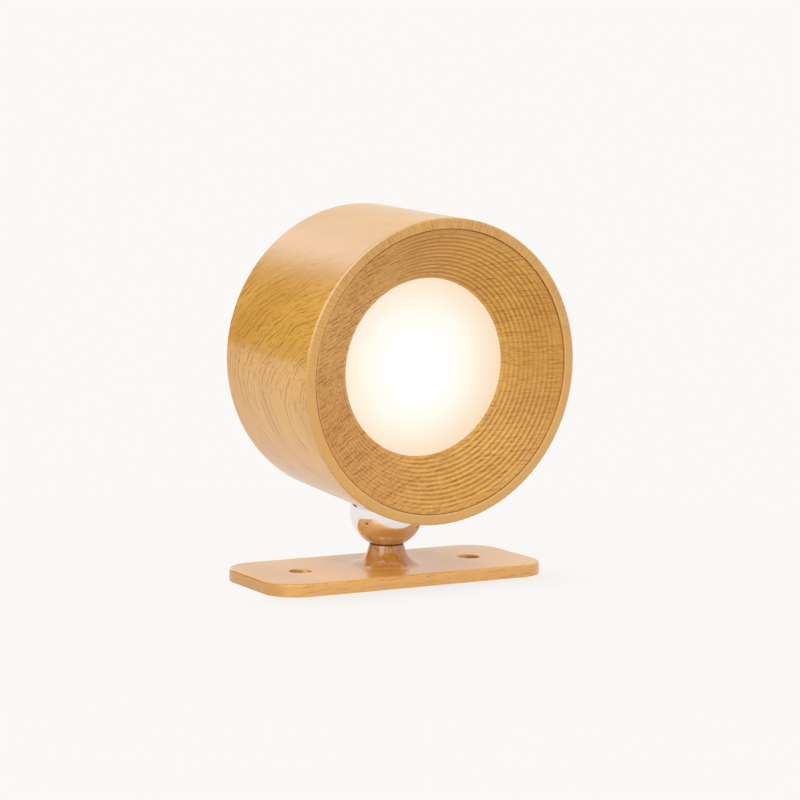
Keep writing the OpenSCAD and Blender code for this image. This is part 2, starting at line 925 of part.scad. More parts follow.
module cover_screws() {
    color(steel)
        in_drum()
            at_posts()
                translate([0, 0, rear_a])
                    rotate([180, 0, 0])
                        flat_screw(screw_length + cover_thickness - screw_slack);
}

module push_button() {
    color(oak_pale)
        in_drum() {
            span(button_r, button_face_a, button_inner_a);
            span(button_r + button_flange, button_seat_a, button_inner_a);
        }
}

base_plate();
ball_washer();
ball_screw();
ball();
socket_liner();
magnet();
pole_cup();
socket_retainer();
retainer_screws();
drum_shell();
baffle();
lens();
reflector();
led_board();
leds();
led_leads();
chassis();
chassis_screws();
battery_tray();
tray_screws();
battery();
battery_tabs();
control_board();
board_screws();
board_parts();
charging_port();
switch_base();
switch_plunger();
light_pipe();
back_cover();
cover_screws();
push_button();
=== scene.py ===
import json
import math

import bpy
from mathutils import Matrix, Vector


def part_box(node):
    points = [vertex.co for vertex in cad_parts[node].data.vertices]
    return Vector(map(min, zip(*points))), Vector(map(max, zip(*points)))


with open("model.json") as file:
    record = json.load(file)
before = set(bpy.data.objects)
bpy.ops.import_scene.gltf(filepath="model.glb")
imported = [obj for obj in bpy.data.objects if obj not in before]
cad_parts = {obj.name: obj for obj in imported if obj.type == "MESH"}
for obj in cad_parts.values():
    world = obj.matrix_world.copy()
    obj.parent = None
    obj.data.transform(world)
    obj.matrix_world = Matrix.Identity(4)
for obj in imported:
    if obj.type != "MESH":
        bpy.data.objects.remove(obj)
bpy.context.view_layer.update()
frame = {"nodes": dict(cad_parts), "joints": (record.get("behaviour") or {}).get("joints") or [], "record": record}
nodes = frame["nodes"]
joints = {joint["name"]: joint for joint in frame["joints"]}
mounts = {mount["name"]: mount for mount in frame["record"]["mounts"]}

# Millimetres in a metre
MM = 1000.0

# Sizes and places from the frame, in millimetres
BALL_Z = joints["head_spin"]["pos_m"][2] * MM
DRUM_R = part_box("drum_shell")[1].x * MM
BASE_FRONT = -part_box("base_plate")[0].y * MM
HOLE_X = mounts["wall_screws"]["dims"]["spacing_x_mm"] / 2
# How far the head nods at rest, in radians
NOD = math.asin(-joints["head_spin"]["axis"][1])
NOD_COS, NOD_SIN = math.cos(NOD), math.sin(NOD)

# Sizes that the frame doesn't give, in millimetres, as in the part's source. FRONT is the way from the
# ball's middle to the drum's front, and HOLE_R takes in the hole's rounded edge
PLATE_TOP = 3.8
HOLE_R = 3.8
HEAD_GAP = 1.3
DRUM_WALL = 3.0
FRONT = 29.7
CONE_WIDTH = 15.5
CONE_DEPTH = 11.2
BAFFLE_GAP = 0.12
BAFFLE_RECESS = 0.3
LENS_GAP = 0.15
RIDGE_COUNT = 11
RIDGE_MARGIN = 0.95
RIDGE_LAND = 2.0

# Sizes that follow from these. The cone's ends are a radius and a way forward
AXIS_H = DRUM_R + HEAD_GAP
BORE_R = DRUM_R - DRUM_WALL
CONE_LOW = (BORE_R - CONE_WIDTH, FRONT - CONE_DEPTH)
CONE_HIGH = (BORE_R - BAFFLE_GAP, FRONT - BAFFLE_RECESS)
LENS_R = CONE_LOW[0] - LENS_GAP

# Where the tips of the drum's arcs lie, in degrees to the left of the top
ARC_TIPS = 103.0
# Where the arcs' focus lies, in millimetres ahead of the ball's middle
ARC_FOCUS = 45.0
# Where a band of painted shade lies, toning down the broad highlight there, in millimetres round the drum from the
# tips of its arcs
SHADE_BAND = 52.0
# Where the cone gets the most painted light against the rim's shade, and the darkest painted shade at its seam, in
# degrees to the right of the top
UPPER_LEFT = -60.0
# The middles of the cone's upper and lower stretch of plain ridges, with painted shade in their valleys, in
# degrees to the right of the top
RIDGES_TOP = 24.0
RIDGES_LOW = 147.0
# How far out the stem's colour goes, in millimetres
STEM_REACH = 11.5
# The way across the screw holes along which their painted light changes, as x and y
HOLE_LIGHT_WAY = (0.87, -0.49)
# The brightest place of the lens, across and up from the drum's axis, in millimetres
BRIGHT = (-3.8, 1.0)


def linear(r, g, b):
    """An sRGB colour in 0..255 as linear RGBA."""
    def one(v):
        v /= 255.0
        return v / 12.92 if v <= 0.04045 else ((v + 0.055) / 1.055) ** 2.4
    return (one(r), one(g), one(b), 1.0)


# The surround and the floor as the camera sees them
PALE = (0.965, 0.947, 0.930, 1.0)

# The print's two grounds, its dark lines, a band of painted shade and its colour on the rim
HONEY = linear(236, 177, 75)
AMBER = linear(224, 163, 61)
PORE = linear(168, 104, 14)
SHADE_BAND_COLOUR = linear(188, 134, 68)
RIM = linear(206, 153, 73)
# Painted light inside the seam and on the inner edge, against their shade, and a painted highlight on the rounded
# outer edge
SEAM_LIGHT = linear(255, 236, 205)
INNER_EDGE_LIGHT = linear(255, 216, 142)
OUTER_EDGE_HIGHLIGHT = linear(253, 226, 176)
# The cone's two grounds, each at the left, at the right, painted lighter at the upper left against the rim's
# shade, and at the far right
CONE_GROUNDS = (
    (linear(225, 167, 88), linear(224, 172, 78), linear(252, 194, 104), linear(196, 136, 52)),
    (linear(211, 152, 77), linear(212, 159, 68), linear(244, 184, 96), linear(188, 128, 44)),
)
CONE_PORE = linear(150, 80, 8)
# Painted shade in the ridges' valleys
CONE_VALLEY_SHADE = linear(150, 88, 18)
# A painted highlight on the ridges' crests
CONE_CREST_HIGHLIGHT = linear(252, 208, 122)
# Painted shade at the seam
CONE_SEAM_SHADE = linear(104, 58, 16)
CONE_EDGE = linear(176, 116, 46)
# The base
PLATE_HONEY = linear(231, 174, 90)
PLATE_AMBER = linear(220, 162, 80)
# Painted light for the top to both sides of the stem
PLATE_TOP_LIGHT = linear(250, 192, 98)
# Painted shade for the left end
PLATE_END_SHADE = linear(197, 138, 40)
STEM = linear(192, 120, 34)
STEM_STREAK = linear(124, 66, 16)
HOLE_WALL = linear(196, 152, 96)
# Painted light for the screw holes' walls
HOLE_WALL_LIGHT = linear(252, 212, 154)
# The lit lens, from its brightest place to its edge
GLOW = ((1.0, 1.0, 1.0, 1.0), linear(253, 246, 231), linear(248, 227, 202), linear(246, 218, 180))


class Number:
    """A number in a node tree. Arithmetic with it adds Math nodes."""

    def __init__(self, tree, socket):
        self.tree = tree
        self.socket = socket

    def __add__(self, other):
        return self.tree.math("ADD", self, other)

    def __radd__(self, other):
        return self.tree.math("ADD", other, self)

    def __sub__(self, other):
        return self.tree.math("SUBTRACT", self, other)

    def __rsub__(self, other):
        return self.tree.math("SUBTRACT", other, self)

    def __mul__(self, other):
        return self.tree.math("MULTIPLY", self, other)

    def __truediv__(self, other):
        return self.tree.math("DIVIDE", self, other)

    def __rtruediv__(self, other):
        return self.tree.math("DIVIDE", other, self)

    def __neg__(self):
        return self.tree.math("MULTIPLY", self, -1.0)

    def __abs__(self):
        return self.tree.math("ABSOLUTE", self)


class Tree:
    """A small builder for the node tree of a material or a world."""

    def __init__(self, owner):
        owner.use_nodes = True
        self.tree = owner.node_tree
        self.tree.nodes.clear()

    def node(self, kind, **props):
        made = self.tree.nodes.new(kind)
        for key, value in props.items():
            setattr(made, key, value)
        return made

    def feed(self, socket, value):
        """Links a number or another output to a socket, or sets a plain value on it."""
        if isinstance(value, Number):
            value = value.socket
        if isinstance(value, bpy.types.NodeSocket):
            self.tree.links.new(value, socket)
        else:
            socket.default_value = value

    def math(self, operation, *values):
        made = self.node("ShaderNodeMath", operation=operation)
        for socket, value in zip(made.inputs, values):
            self.feed(socket, value)
        return Number(self, made.outputs[0])

    def vector(self, *values):
        made = self.node("ShaderNodeCombineXYZ")
        for socket, value in zip(made.inputs, values):
            self.feed(socket, value)
        return made.outputs[0]

    def split(self, vector):
        """The three numbers of a vector."""
        made = self.node("ShaderNodeSeparateXYZ")
        self.feed(made.inputs[0], vector)
        return [Number(self, socket) for socket in made.outputs]

    def ramp(self, value, low, high):
        """0 at low and 1 at high, smoothly."""
        made = self.node("ShaderNodeMapRange", interpolation_type="SMOOTHSTEP")
        self.feed(made.inputs["Value"], value)
        made.inputs["From Min"].default_value = low
        made.inputs["From Max"].default_value = high
        return Number(self, made.outputs[0])

    def reach(self, x, y):
        """How far the point x, y lies from the origin."""
        return self.math("SQRT", x * x + y * y)

    def wrap(self, value, half):
        """The value, brought round into the range from -half to half."""
        return self.math("WRAP", value, half, -half)


class Shader(Tree):
    """A material with one principled shader."""

    def __init__(self, name):
        self.material = bpy.data.materials.new(name)
        super().__init__(self.material)
        self.out = self.node("ShaderNodeOutputMaterial")
        self.bsdf = self.node("ShaderNodeBsdfPrincipled")
        self.feed(self.out.inputs["Surface"], self.bsdf.outputs["BSDF"])

    def noise(self, place, scale=1.0, detail=2.0, rough=0.5):
        made = self.node("ShaderNodeTexNoise")
        self.feed(made.inputs["Vector"], place)
        made.inputs["Scale"].default_value = scale
        made.inputs["Detail"].default_value = detail
        made.inputs["Roughness"].default_value = rough
        return Number(self, made.outputs["Fac"])

    def luck(self, value, seed):
        """A fixed random number from 0 to 1 for each whole value."""
        made = self.node("ShaderNodeTexWhiteNoise", noise_dimensions="2D")
        self.feed(made.inputs["Vector"], self.vector(value, seed, 0.0))
        return Number(self, made.outputs["Value"])

    def mix(self, share, first, second):
        """The first colour where share is 0 and the second where it is 1."""
        made = self.node("ShaderNodeMix", data_type="RGBA")
        for index, value in ((0, share), (6, first), (7, second)):
            self.feed(made.inputs[index], value)
        return made.outputs[2]

    def row_mm(self):
        """X, Y and Z in the row frame, in millimetres."""
        place = self.node("ShaderNodeTexCoord")
        scaled = self.node("ShaderNodeVectorMath", operation="SCALE")
        self.feed(scaled.inputs[0], place.outputs["Object"])
        scaled.inputs["Scale"].default_value = MM
        return self.split(scaled.outputs[0])

    def drum_mm(self):
        """x across, u up from the drum's axis and a forward from the ball's middle, in millimetres."""
        x, y, z = self.row_mm()
        z = z - BALL_Z
        return x, z * NOD_COS - y * NOD_SIN - AXIS_H, -(y * NOD_COS + z * NOD_SIN)

    def facing(self, x, u, degrees):
        """1 where the point x, u lies in a direction from the drum's axis, and less to both sides of it.
        The direction is in degrees to the right of the top."""
        return self.math("COSINE", self.math("ARCTAN2", x, u) - math.radians(degrees))

    def bump(self, height, distance, strength):
        self.relief = self.node("ShaderNodeBump")
        self.relief.inputs["Strength"].default_value = strength
        self.relief.inputs["Distance"].default_value = distance
        self.feed(self.relief.inputs["Height"], height)
        self.feed(self.bsdf.inputs["Normal"], self.relief.outputs[0])

    def set(self, **sockets):
        """Feeds sockets of the principled shader, with _ for a space in their names."""
        for key, value in sockets.items():
            self.feed(self.bsdf.inputs[key.replace("_", " ")], value)


def strokes(shader, along, across, gap, thick, length, cover, seed):
    """Broken lines along the grain, one in each gap, from 0 off them to 1 on them.
    Sizes are in millimetres, and cover says how much of each line shows."""
    # Each row has its own place, force and breaks
    phase = across / gap
    row = shader.math("FLOOR", phase)
    place = 0.25 + shader.luck(row, seed) * 0.5
    off = abs(shader.math("FRACT", phase) - place) * gap
    line = 1.0 - shader.ramp(off, 0.3 * thick, 0.7 * thick)
    force = 0.4 + shader.luck(row, seed + 31.0) * 0.6
    run = shader.noise(shader.vector(along / length, row * 5.37, seed), detail=1.0)
    edge = 0.5 + (0.5 - cover) * 0.4
    return line * force * shader.ramp(run, edge - 0.02, edge + 0.06)


def pores(shader, along, across, gap=2.4, fine=1.0, size=1.0, sway=1.5):
    """Broken growth lines and short dark pores along the grain, which gap sets apart, in millimetres.
    fine says how plainly the pores show, size how long both are and sway how far they wander."""
    wave = shader.noise(shader.vector(along * 0.28, across * 0.28, 7.7))
    across = across + wave * sway
    line = strokes(shader, along, across, gap, thick=0.50, length=4.6 * size, cover=0.56, seed=1.3)
    half = strokes(shader, along, across, gap * 0.46, thick=0.38, length=2.6 * size, cover=0.56, seed=5.5)
    tick = strokes(shader, along, across, gap * 0.27, thick=0.28, length=1.5 * size, cover=0.46, seed=9.2)
    return line * 0.78 + (half * 0.62 + tick * 0.50) * fine


def grain(shader, along, across, honey=HONEY, amber=AMBER, pore=PORE, depth=1.0, **lines):
    """Printed oak: soft colour bands under dark lines and pores. Gives its colour and its dark.
    along and across are in millimetres, depth says how plainly the dark shows, and lines go to pores."""
    band = shader.noise(shader.vector(along * 0.012, across * 0.075, 3.1), detail=3.0, rough=0.55)
    colour = shader.mix(shader.ramp(band, 0.3, 0.72), honey, amber)
    dark = shader.math("MINIMUM", pores(shader, along, across, **lines) * depth, 0.9)
    return shader.mix(dark, colour, pore), dark


def film(shader, dark, rough=0.19, gloss=0.5, relief=0.00002):
    """The satin clear film over the print, which sinks a little where the print is dark."""
    haze = shader.noise(shader.vector(*shader.row_mm()), scale=0.9)
    shader.set(Roughness=rough + ((haze - 0.5) * 0.06 + dark * 0.08))
    shader.set(IOR=1.85, Specular_IOR_Level=gloss)
    shader.bump(-dark, relief, 0.5)


def drum_grain(shader):
    """Nested cathedral arcs on the drum's left side, which open to the front and run out over its top.
    Gives the ways along and across the grain, how plainly its lines and its pores show, and the way round
    the drum from the arcs' tips. The lines grow faint towards the top and the underside."""
    x, u, a = shader.drum_mm()
    turn = shader.math("ARCTAN2", x, u) + math.radians(ARC_TIPS)
    way = shader.wrap(turn, math.pi) * DRUM_R
    sway = shader.noise(shader.vector(x, u, a), scale=0.045)
    wide = 2.15 + shader.math("TANH", way / 5.0) * 0.25
    ahead = a - ARC_FOCUS
    reach = shader.reach(way * wide, ahead)
    across = (reach - ahead) / 2.2 + sway * 9.0
    along = shader.math("SQRT", shader.math("MAXIMUM", reach + ahead, 0.01))
    along = along * 4.2 * shader.math("SIGN", way)
    plain = shader.ramp(way, 52.0, 36.0) * shader.ramp(way, -42.0, -14.0)
    fine = shader.ramp(way, -10.0, 12.0)
    return along, across, plain, fine, way


def flat_grain(shader, x, u, slope, curve):
    """Streaks across a flat face, rising by slope, in degrees, that waver by curve, in millimetres."""
    slope_cos, slope_sin = math.cos(math.radians(slope)), math.sin(math.radians(slope))
    warp = shader.noise(shader.vector(x, u, 2.0), scale=0.025)
    return x * slope_cos + u * slope_sin, u * slope_cos - x * slope_sin + warp * curve


def fan_grain(shader, x, u):
    """Streaks across the ridged cone, which rise on the left and grow level on the right."""
    warp = shader.noise(shader.vector(x, u, 2.0), scale=0.025)
    right = shader.math("MAXIMUM", x, 0.0)
    bow = right * right * 0.0026 - x * 0.31
    return x, u + bow + warp * 6.0


def seam_light_share(shader, x, u):
    """How much painted light goes inside the seam, against its shade: nearly full above and below, none at the
    sides.
    """
    top = shader.ramp(shader.facing(x, u, 15.0), 0.80, 0.95)
    low = shader.ramp(shader.facing(x, u, -170.0), 0.80, 0.95)
    return shader.math("MAXIMUM", top, low) * 0.9


def drum_material():
    """The drum: arcs on its left, plainer lines on its far side, ticks across its rim, a band of painted shade,
    painted light on its inner edge and in its seam, and a painted highlight on its outer edge.
    """
    shader = Shader("oak_print_drum")
    along, across, plain, fine, way = drum_grain(shader)
    x, u, a = shader.drum_mm()
    r = shader.reach(x, u)
    rim = shader.ramp(a, FRONT - 0.5, FRONT - 0.2)
    depth = (0.22 + plain * (0.78 - fine * 0.1)) * (1.0 - rim * 0.75)
    # The strokes are long on the lower side and short on the upper one
    along = along * (0.42 + fine * 0.78)
    colour, dark = grain(shader, along, across, depth=depth, fine=fine)
    # The far side has plainer lines of its own
    far = shader.wrap(shader.math("ARCTAN2", x, u) - math.pi / 2, math.pi) * DRUM_R
    waver = shader.noise(shader.vector(x, u, a), scale=0.03)
    lines = pores(shader, a, far + a * 0.3 + waver * 16.0)
    lines = lines * shader.ramp(abs(far), 62.0, 44.0) * (0.8 - rim * 0.6)
    colour = shader.mix(lines, colour, PORE)
    dark = dark + lines
    # A band of painted shade runs along the upper left, toning down the broad highlight there, and groups of ticks
    # stand across the upper rim
    band = shader.ramp(abs(way - SHADE_BAND), 19.0, 3.0)
    colour = shader.mix(band * 0.56, colour, SHADE_BAND_COLOUR)
    colour = shader.mix(rim * 0.8, colour, RIM)
    ticks = strokes(shader, r, way, gap=0.72, thick=0.40, length=4.0, cover=0.62, seed=3.3)
    some = shader.ramp(shader.noise(shader.vector(way * 0.16, 5.0, 0.0), detail=1.0), 0.24, 0.52)
    ticks = ticks * rim * shader.ramp(u, -8.0, 30.0) * some
    colour = shader.mix(ticks * 0.62, colour, PORE)
    # Painted light on the inner edge, on the right and below, against the seam's shade
    inner_lit = shader.ramp(r, BORE_R + 0.4, BORE_R + 0.05) * shader.ramp(a, FRONT - 1.4, FRONT - 1.1)
    lit_side = shader.ramp((x * 0.7 - u * 0.7) / r, -0.4, 0.3)
    colour = shader.mix(inner_lit * lit_side * 0.4, colour, INNER_EDGE_LIGHT)
    # Painted light inside the seam, against its shade
    seam_lit = shader.ramp(r, BORE_R + 0.15, BORE_R + 0.05) * shader.ramp(a, FRONT - 0.6, FRONT - 0.9)
    colour = shader.mix(seam_lit * seam_light_share(shader, x, u), colour, SEAM_LIGHT)
    # A painted highlight on the rounded outer edge, on the left and above
    outer_highlight = shader.ramp(a, FRONT - 0.72, FRONT - 0.45) * shader.ramp(r, DRUM_R - 0.55, DRUM_R - 0.3)
    lit_side = shader.ramp((u * 0.67 - x * 0.74) / r, 0.72, 0.98)
    colour = shader.mix(outer_highlight * lit_side * 0.32, colour, OUTER_EDGE_HIGHLIGHT)
    shader.set(Base_Color=colour)
    film(shader, dark)
    return shader.material


def cone_colour(shader, x, u, r, plain, low):
    """The ridged cone's colour and its dark strokes, with painted light and shade. plain and low say how plainly
    the painted shade in the ridges' valleys shows and how near the bottom a point lies."""
    upper_left = shader.facing(x, u, UPPER_LEFT)
    upper_left_lit = shader.ramp(upper_left, 0.7, 0.95)
    # Ground and strokes, with painted light on the ground at the upper left, against the rim's shade
    over = shader.ramp(shader.facing(x, u, 0.0), 0.78, 0.95)
    # Ground and strokes
    along, across = fan_grain(shader, x, u)
    depth = 0.56 - shader.ramp(x, 22.0, 36.0) * 0.06 + upper_left_lit * 0.06 - over * 0.24
    side = shader.ramp(x, -16.0, 22.0)
    beside = shader.ramp(x, 26.0, 34.0)
    grounds = []
    for left, right, painted_light, deep in CONE_GROUNDS:
        ground = shader.mix(upper_left_lit * 0.55, shader.mix(side, left, right), painted_light)
        grounds.append(shader.mix(beside * 0.4, ground, deep))
    colour, dark = grain(shader, along, across, *grounds, CONE_PORE, depth, gap=1.35, size=0.8, sway=0.8)
    # Ridges: painted shade in their valleys above and below, and a painted highlight on their crests below
    length = math.dist(CONE_LOW, CONE_HIGH)
    pitch = (length - RIDGE_MARGIN - RIDGE_LAND) / RIDGE_COUNT
    stretch = length / (CONE_HIGH[0] - CONE_LOW[0])
    count = ((r - CONE_LOW[0]) * stretch - RIDGE_MARGIN) / pitch
    near = abs(shader.math("FRACT", count) - 0.5)
    inside = shader.math("GREATER_THAN", count, -0.2) * shader.math("LESS_THAN", count, RIDGE_COUNT + 0.2)
    patchy = shader.noise(shader.vector(along * 0.22, across * 1.1, 4.0))
    shade_cover = plain * shader.ramp(patchy + over * 0.2, 0.16, 0.60)
    valley_shade = shader.ramp(near, 0.10, 0.5) * inside * shade_cover
    colour = shader.mix(valley_shade * 0.46, colour, CONE_VALLEY_SHADE)
    crest_highlight = (1.0 - shader.ramp(near, 0.05, 0.32)) * inside * low
    colour = shader.mix(crest_highlight * 0.2, colour, CONE_CREST_HIGHLIGHT)
    # The outer edge: painted shade at the seam at the upper left, a little darker elsewhere, and painted light
    # inside the seam
    seam_shade_side = shader.ramp(upper_left, 0.45, 0.85)
    seam_shade = shader.ramp(r, CONE_HIGH[0] - 0.5, CONE_HIGH[0] - 0.2)
    colour = shader.mix(seam_shade * seam_shade_side * 0.62, colour, CONE_SEAM_SHADE)
    edge = shader.ramp(r, CONE_HIGH[0] - 1.6, CONE_HIGH[0] - 0.3)
    colour = shader.mix(edge * (1.0 - seam_shade_side) * 0.28, colour, CONE_EDGE)
    seam_lit = shader.ramp(r, CONE_HIGH[0] - 0.2, CONE_HIGH[0] - 0.05)
    return shader.mix(seam_lit * seam_light_share(shader, x, u), colour, SEAM_LIGHT), dark


def even_cone(shader, x, u, r):
    """The normal of the cone as if it had no ridges, in world space."""
    length = math.dist(CONE_LOW, CONE_HIGH)
    inward = (CONE_HIGH[1] - CONE_LOW[1]) / length
    forward = (CONE_HIGH[0] - CONE_LOW[0]) / length
    share = -inward / r
    nx, nu = x * share, u * share
    ny = -forward * NOD_COS - nu * NOD_SIN
    nz = nu * NOD_COS - forward * NOD_SIN
    turned = shader.node("ShaderNodeVectorTransform", vector_type="NORMAL")
    turned.convert_from = "OBJECT"
    turned.convert_to = "WORLD"
    shader.feed(turned.inputs[0], shader.vector(nx, ny, nz))
    return turned.outputs[0]


def baffle_material():
    """The ridged cone: short strokes across it, and ridges with painted shade in their valleys at the top and the
    bottom, which fades towards the sides."""
    shader = Shader("oak_print_baffle")
    x, u, a = shader.drum_mm()
    r = shader.reach(x, u)
    turn = shader.math("DEGREES", shader.math("ARCTAN2", x, u))
    top = 1.0 - shader.ramp(abs(turn - RIDGES_TOP), 36.0, 62.0)
    low = 1.0 - shader.ramp(abs(shader.wrap(turn - RIDGES_LOW, 180.0)), 34.0, 62.0)
    plain = shader.math("MAXIMUM", top, low)
    colour, dark = cone_colour(shader, x, u, r, plain, low)
    shader.set(Base_Color=colour)
    film(shader, dark, rough=0.36, gloss=0.24, relief=0.00008)
    # Where the ridges are worn, the cone's face shades as the even cone does
    face = shader.ramp(r, CONE_LOW[0] + 0.1, CONE_LOW[0] + 0.5)
    face = face * shader.ramp(a, CONE_LOW[1] - 0.6, CONE_LOW[1] - 0.2)
    face = face * shader.ramp(r, CONE_HIGH[0] - 0.2, CONE_HIGH[0] - 0.35)
    keep = 0.03 + plain * 0.67
    blend = shader.node("ShaderNodeMix", data_type="VECTOR")
    shader.feed(blend.inputs[0], face * (1.0 - keep))
    shader.feed(blend.inputs[4], shader.node("ShaderNodeNewGeometry").outputs["Normal"])
    shader.feed(blend.inputs[5], even_cone(shader, x, u, r))
    unit = shader.node("ShaderNodeVectorMath", operation="NORMALIZE")
    shader.feed(unit.inputs[0], blend.outputs[1])
    shader.feed(shader.relief.inputs["Normal"], unit.outputs[0])
    return shader.material


def back_material():
    """The back of the head: streaks across it."""
    shader = Shader("oak_print_back")
    x, u, _ = shader.drum_mm()
    along, across = flat_grain(shader, x, u, slope=6.0, curve=16.0)
    colour, dark = grain(shader, along, across)
    shader.set(Base_Color=colour)
    film(shader, dark)
    return shader.material


def plate_material():
    """The base: plain on its top, with streaks on its sides and on its stem, painted light on its top, painted
    shade on its left end and painted light in its screw holes.
    """
    shader = Shader("oak_print_plate")
    x, y, z = shader.row_mm()
    out = shader.reach(x, y)
    stem = shader.ramp(z, PLATE_TOP + 0.05, PLATE_TOP + 0.8)
    stem = stem * shader.ramp(out, STEM_REACH + 1.0, STEM_REACH - 1.0)
    top = shader.ramp(z, PLATE_TOP - 0.4, PLATE_TOP - 0.05) * (1.0 - stem)
    along, across = flat_grain(shader, x, y + z * 1.6, slope=4.0, curve=12.0)
    depth = (0.75 - top * 0.71) * (1.0 - shader.ramp(x, -38.0, -44.0) * 0.5)
    colour, dark = grain(shader, along, across, PLATE_HONEY, PLATE_AMBER, PORE, depth, gap=3.0, fine=0.6)
    # Painted light on the top to both sides of the stem, against the drum's shadow and reflection, and painted
    # shade on the left end
    painted_light = shader.ramp(x, -8.0, -16.0) * shader.ramp(x, -38.0, -27.0) + shader.ramp(x, 20.0, 34.0)
    colour = shader.mix(painted_light * top * 0.75, colour, PLATE_TOP_LIGHT)
    end_shade = shader.ramp(x, -42.0, -46.0) * (1.0 - top)
    colour = shader.mix(end_shade * 0.6, colour, PLATE_END_SHADE)
    # The stem is deeper, with slanting streaks
    bend = shader.noise(shader.vector(x, y, z), scale=0.25)
    slant = x + z * 0.45 + bend * 3.0
    streak = strokes(shader, z + x * 0.25, slant, gap=1.9, thick=0.5, length=2.2, cover=0.5, seed=2.7)
    colour = shader.mix(stem * 0.55, colour, STEM)
    colour = shader.mix(streak * stem * 0.5, colour, STEM_STREAK)
    # Inside the screw holes the colour is greyer
    far = shader.reach(abs(x) - HOLE_X, y)
    hole = shader.ramp(far, HOLE_R + 0.4, HOLE_R - 0.1) * shader.ramp(z, PLATE_TOP - 0.1, PLATE_TOP - 0.5)
    colour = shader.mix(hole * 0.8, colour, HOLE_WALL)
    # Painted light on their walls: a painted highlight on the left one right of its middle, and painted light over
    # the right one's left half
    at = (x - shader.math("SIGN", x) * HOLE_X) * HOLE_LIGHT_WAY[0] + y * HOLE_LIGHT_WAY[1]
    highlight_spot = shader.ramp(abs(at - 1.4), 1.4, 0.2) * shader.math("LESS_THAN", x, 0.0)
    half = shader.ramp(at, 0.2, -1.4) * shader.math("GREATER_THAN", x, 0.0)
    colour = shader.mix(hole * (highlight_spot + half * 0.9), colour, HOLE_WALL_LIGHT)
    shader.set(Base_Color=colour)
    # The film is glossier round the stem
    film(shader, dark, rough=0.22 - shader.ramp(out, 17.0, 12.0) * 0.09)
    return shader.material


def chrome_material():
    """Bright chrome with a faint haze."""
    shader = Shader("chrome")
    wear = shader.noise(shader.vector(*shader.row_mm()), scale=0.35, detail=3.0, rough=0.6)
    colour = shader.mix(wear, (0.93, 0.91, 0.885, 1.0), (0.87, 0.85, 0.825, 1.0))
    shader.set(Base_Color=colour, Metallic=1.0, Roughness=0.025 + wear * 0.03)
    return shader.material


def steel_material():
    """Plated steel with fine drawn lines."""
    shader = Shader("plated_steel")
    x, y, z = shader.row_mm()
    lines = shader.noise(shader.vector(x * 0.3, y * 4.0, z * 0.3), rough=0.6)
    colour = shader.mix(lines, (0.66, 0.65, 0.63, 1.0), (0.52, 0.52, 0.51, 1.0))
    shader.set(Base_Color=colour, Metallic=1.0, Roughness=0.22 + lines * 0.16)
    return shader.material


def moulded(name, light, dark, rough):
    """Moulded plastic or rubber with a fine spark-eroded grain."""
    shader = Shader(name)
    place = shader.vector(*shader.row_mm())
    fine = shader.noise(place, scale=4.8, rough=0.6)
    broad = shader.noise(place, scale=0.128, detail=3.0)
    shader.set(Base_Color=shader.mix(broad, light, dark), Roughness=rough - 0.05 + fine * 0.1)
    shader.bump(fine, 0.00002, 0.6)
    return shader.material


def board_material(name, mask, copper, gap):
    """Solder mask with straight copper tracks showing through, which gap sets apart, in millimetres."""
    shader = Shader(name)
    x, u, _ = shader.drum_mm()
    hop = shader.noise(shader.vector(x * 0.1, u * 0.02, 0.0), detail=1.0)
    row = shader.math("FRACT", u / gap + hop * 2.0)
    track = shader.ramp(row, 0.3, 0.36) * (1.0 - shader.ramp(row, 0.6, 0.66))
    shader.set(Base_Color=shader.mix(track, mask, copper), Roughness=0.35)
    shader.bump(track, 0.00004, 0.6)
    return shader.material


def lens_material():
    """Frosted opal, lit from behind: whitest where the light lies, creamy towards its edge."""
    shader = Shader("opal_lens_lit")
    x, u, a = shader.drum_mm()
    place = shader.vector(x, u, a)
    cloud = shader.noise(place, scale=0.06)
    out = shader.reach(x - BRIGHT[0], u - BRIGHT[1]) / LENS_R + (cloud - 0.5) * 0.06
    glow = shader.mix(shader.ramp(out, 0.22, 0.74), GLOW[0], GLOW[1])
    glow = shader.mix(shader.ramp(out, 0.60, 1.02), glow, GLOW[2])
    glow = shader.mix(shader.ramp(out, 0.94, 1.18), glow, GLOW[3])
    shader.set(Base_Color=(0.03, 0.027, 0.022, 1.0), Roughness=0.5, Specular_IOR_Level=0.15)
    shader.set(Emission_Color=glow, Emission_Strength=1.0)
    shader.bump(shader.noise(place, scale=6.0), 0.00001, 0.3)
    return shader.material


MATERIALS = {
    "drum": drum_material(),
    "baffle": baffle_material(),
    "back": back_material(),
    "plate": plate_material(),
    "chrome": chrome_material(),
    "steel": steel_material(),
    "black": moulded("black_plastic", (0.022, 0.019, 0.017, 1.0), (0.012, 0.011, 0.010, 1.0), 0.5),
    "rubber": moulded("washer_rubber", (0.12, 0.050, 0.012, 1.0), (0.09, 0.036, 0.009, 1.0), 0.6),
    "white": moulded("white_plastic", (0.84, 0.83, 0.80, 1.0), (0.78, 0.77, 0.74, 1.0), 0.45),
    "led": moulded("led_phosphor", (0.95, 0.78, 0.35, 1.0), (0.90, 0.70, 0.28, 1.0), 0.4),
    "led_board": board_material("led_board_mask", (0.86, 0.86, 0.84, 1.0), (0.80, 0.79, 0.74, 1.0), 3.0),
    "board": board_material("board_mask", (0.02, 0.13, 0.05, 1.0), (0.05, 0.26, 0.10, 1.0), 1.6),
    "cell": moulded("cell_sleeve", (0.06, 0.13, 0.36, 1.0), (0.05, 0.10, 0.30, 1.0), 0.3),
    "lead": moulded("lead_insulation", (0.50, 0.04, 0.03, 1.0), (0.40, 0.03, 0.025, 1.0), 0.4),
    "lens": lens_material(),
}

